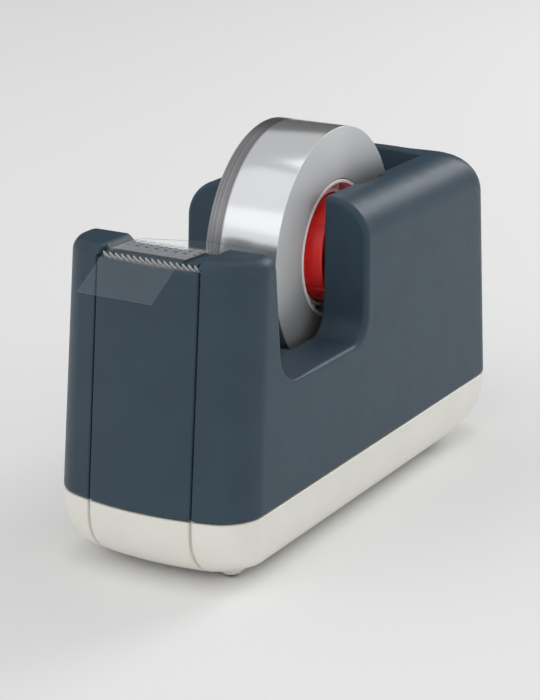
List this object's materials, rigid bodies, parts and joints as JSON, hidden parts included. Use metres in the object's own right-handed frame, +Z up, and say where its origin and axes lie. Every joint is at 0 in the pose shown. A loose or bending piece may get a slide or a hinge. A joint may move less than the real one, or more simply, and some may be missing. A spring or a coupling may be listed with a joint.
{
  "type": "tape dispenser",
  "caption": "Weighted desk tape dispenser with a toothed cutter, a loose tape end, and a roll on a red hub whose axle lifts out of the housing.",
  "frame": {"origin": "on the surface that the dispenser stands on, at the middle of its box in plan, which takes in the free end of the tape", "axes": "+Z up, -Y towards the cutter end, and the roll turns about X"},
  "size_m": [0.051, 0.142, 0.0913],
  "materials": {
    "shell": "soft-touch blue-grey with a very fine grain",
    "base": "satin off-white",
    "steel": "bright ground steel",
    "iron": "as cast, dark",
    "black": "plain moulded",
    "screw": "zinc plated",
    "rubber": "matt",
    "film": "clear glossy film",
    "axle": "turned",
    "hub": "satin red",
    "core": "plain moulded, pale",
    "tape": "glossy wound film"
  },
  "bodies": {
    "housing": {"upper_shell": "shell", "front_panel": "shell", "tape_platform": "shell", "base_tray": "base", "cutter_blade": "steel", "ballast_block": "iron", "ballast_cover": "black", "housing_screw_1": "screw", "housing_screw_2": "screw", "housing_screw_3": "screw", "housing_screw_4": "screw", "foot_pad_1": "rubber", "foot_pad_2": "rubber", "foot_pad_3": "rubber", "foot_pad_4": "rubber", "tape_strip": "film"},
    "axle": {"axle_pin": "axle"},
    "wheel": {"hub_left": "hub", "hub_right": "hub", "tape_core": "core", "tape_roll": "tape"}
  },
  "joints": [
    {"name": "axle_lift", "type": "slide", "parent": "housing", "child": "axle", "axis": [0, 0.4888, 0.8724], "range_m": [0, 0.019], "deforming": ["tape_strip"]},
    {"name": "hub_spin", "type": "hinge", "parent": "axle", "child": "wheel", "pos_m": [0, 0.0097, 0.0616], "axis": [1, 0, 0], "continuous": true}
  ]
}
